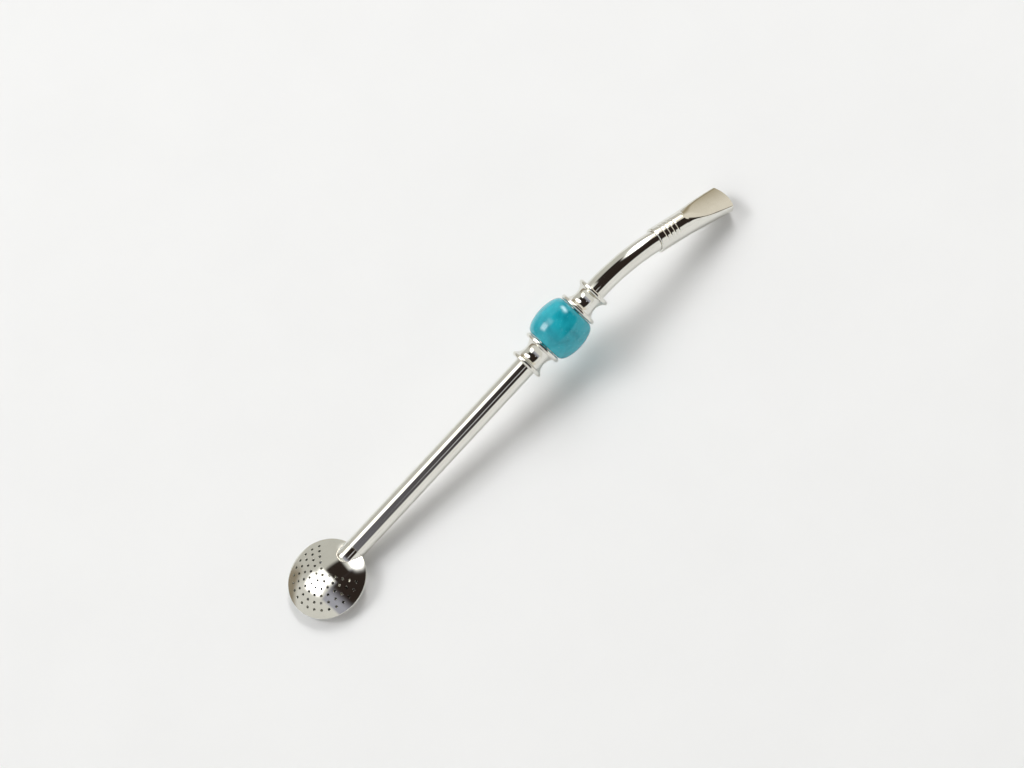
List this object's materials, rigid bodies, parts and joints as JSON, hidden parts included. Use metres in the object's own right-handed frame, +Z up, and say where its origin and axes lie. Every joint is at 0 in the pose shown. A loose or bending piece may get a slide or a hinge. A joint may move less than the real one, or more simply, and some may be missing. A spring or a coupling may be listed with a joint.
{
  "type": "bombilla",
  "caption": "Metal drinking straw for mate, with a perforated lens-shaped strainer, a straight stem, a bead between two ferrules and a bent, flattened mouthpiece.",
  "frame": {"origin": "on the stem's axis, at the stem's lower end, where the strainer parts from it", "axes": "+X along the stem from the strainer towards the mouthpiece, +Z up, away from the side that the mouthpiece bends to"},
  "size_m": [0.2142, 0.0302, 0.0386],
  "materials": {
    "steel": "polished",
    "bead": "gloss"
  },
  "bodies": {
    "stem": {"stem_tube": "steel", "stem_spigot": "steel", "lower_ferrule": "steel", "upper_ferrule": "steel", "mouthpiece": "steel"},
    "bead": {"bead": "bead"},
    "strainer": {"strainer_front": "steel", "strainer_back": "steel", "strainer_socket": "steel"}
  },
  "joints": [
    {"name": "bead_spin", "type": "hinge", "parent": "stem", "child": "bead", "pos_m": [0.10797, 0, 0], "axis": [1, 0, 0], "continuous": true},
    {"name": "strainer_pull", "type": "slide", "parent": "stem", "child": "strainer", "axis": [-1, 0, 0], "range_m": [0, 0.03]}
  ]
}
